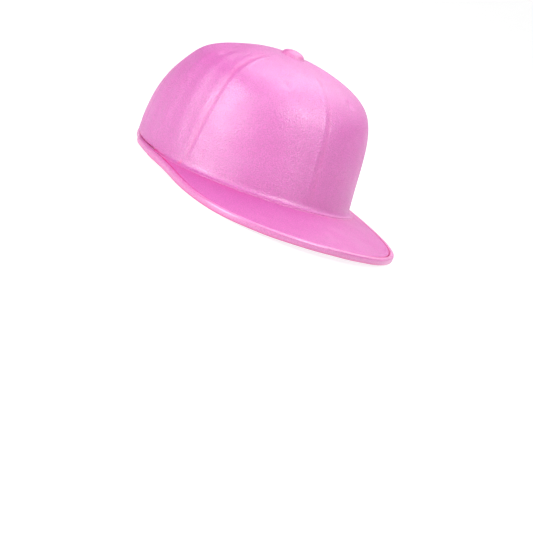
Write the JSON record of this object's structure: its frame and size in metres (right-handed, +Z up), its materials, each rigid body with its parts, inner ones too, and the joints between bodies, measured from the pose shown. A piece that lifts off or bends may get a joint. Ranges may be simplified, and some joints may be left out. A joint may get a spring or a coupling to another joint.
{
  "type": "highlighting cap",
  "caption": "Pull-on silicone cap with a six-panel dome crown, a small top button and a wide, gently arched brim edged by a rounded bead.",
  "frame": {"origin": "middle of the head opening, in the plane that the cap rests on", "axes": "+Z up along the crown, -Y towards the front of the brim, +X towards the wearer's left; the cap is symmetric left to right"},
  "size_m": [0.1802, 0.2473, 0.1065],
  "materials": {
    "crown_silicone": "satin pink silicone with a very fine moulded grain",
    "brim_silicone": "smooth satin pink silicone, slightly deeper than the crown",
    "rim_silicone": "smooth semi-gloss pink silicone bead",
    "button_silicone": "satin pink silicone",
    "seal_silicone": "soft matt pink silicone lining",
    "stiffener": "matt pale polyethylene board, hidden inside the brim"
  },
  "bodies": {
    "root": {"crown_shell": "crown_silicone", "inner_seal_band": "seal_silicone", "top_button": "button_silicone", "brim_top_skin": "brim_silicone", "brim_stiffener": "stiffener", "brim_under_skin": "brim_silicone", "rim_band": "rim_silicone", "bond_bead": "brim_silicone"}
  },
  "joints": []
}
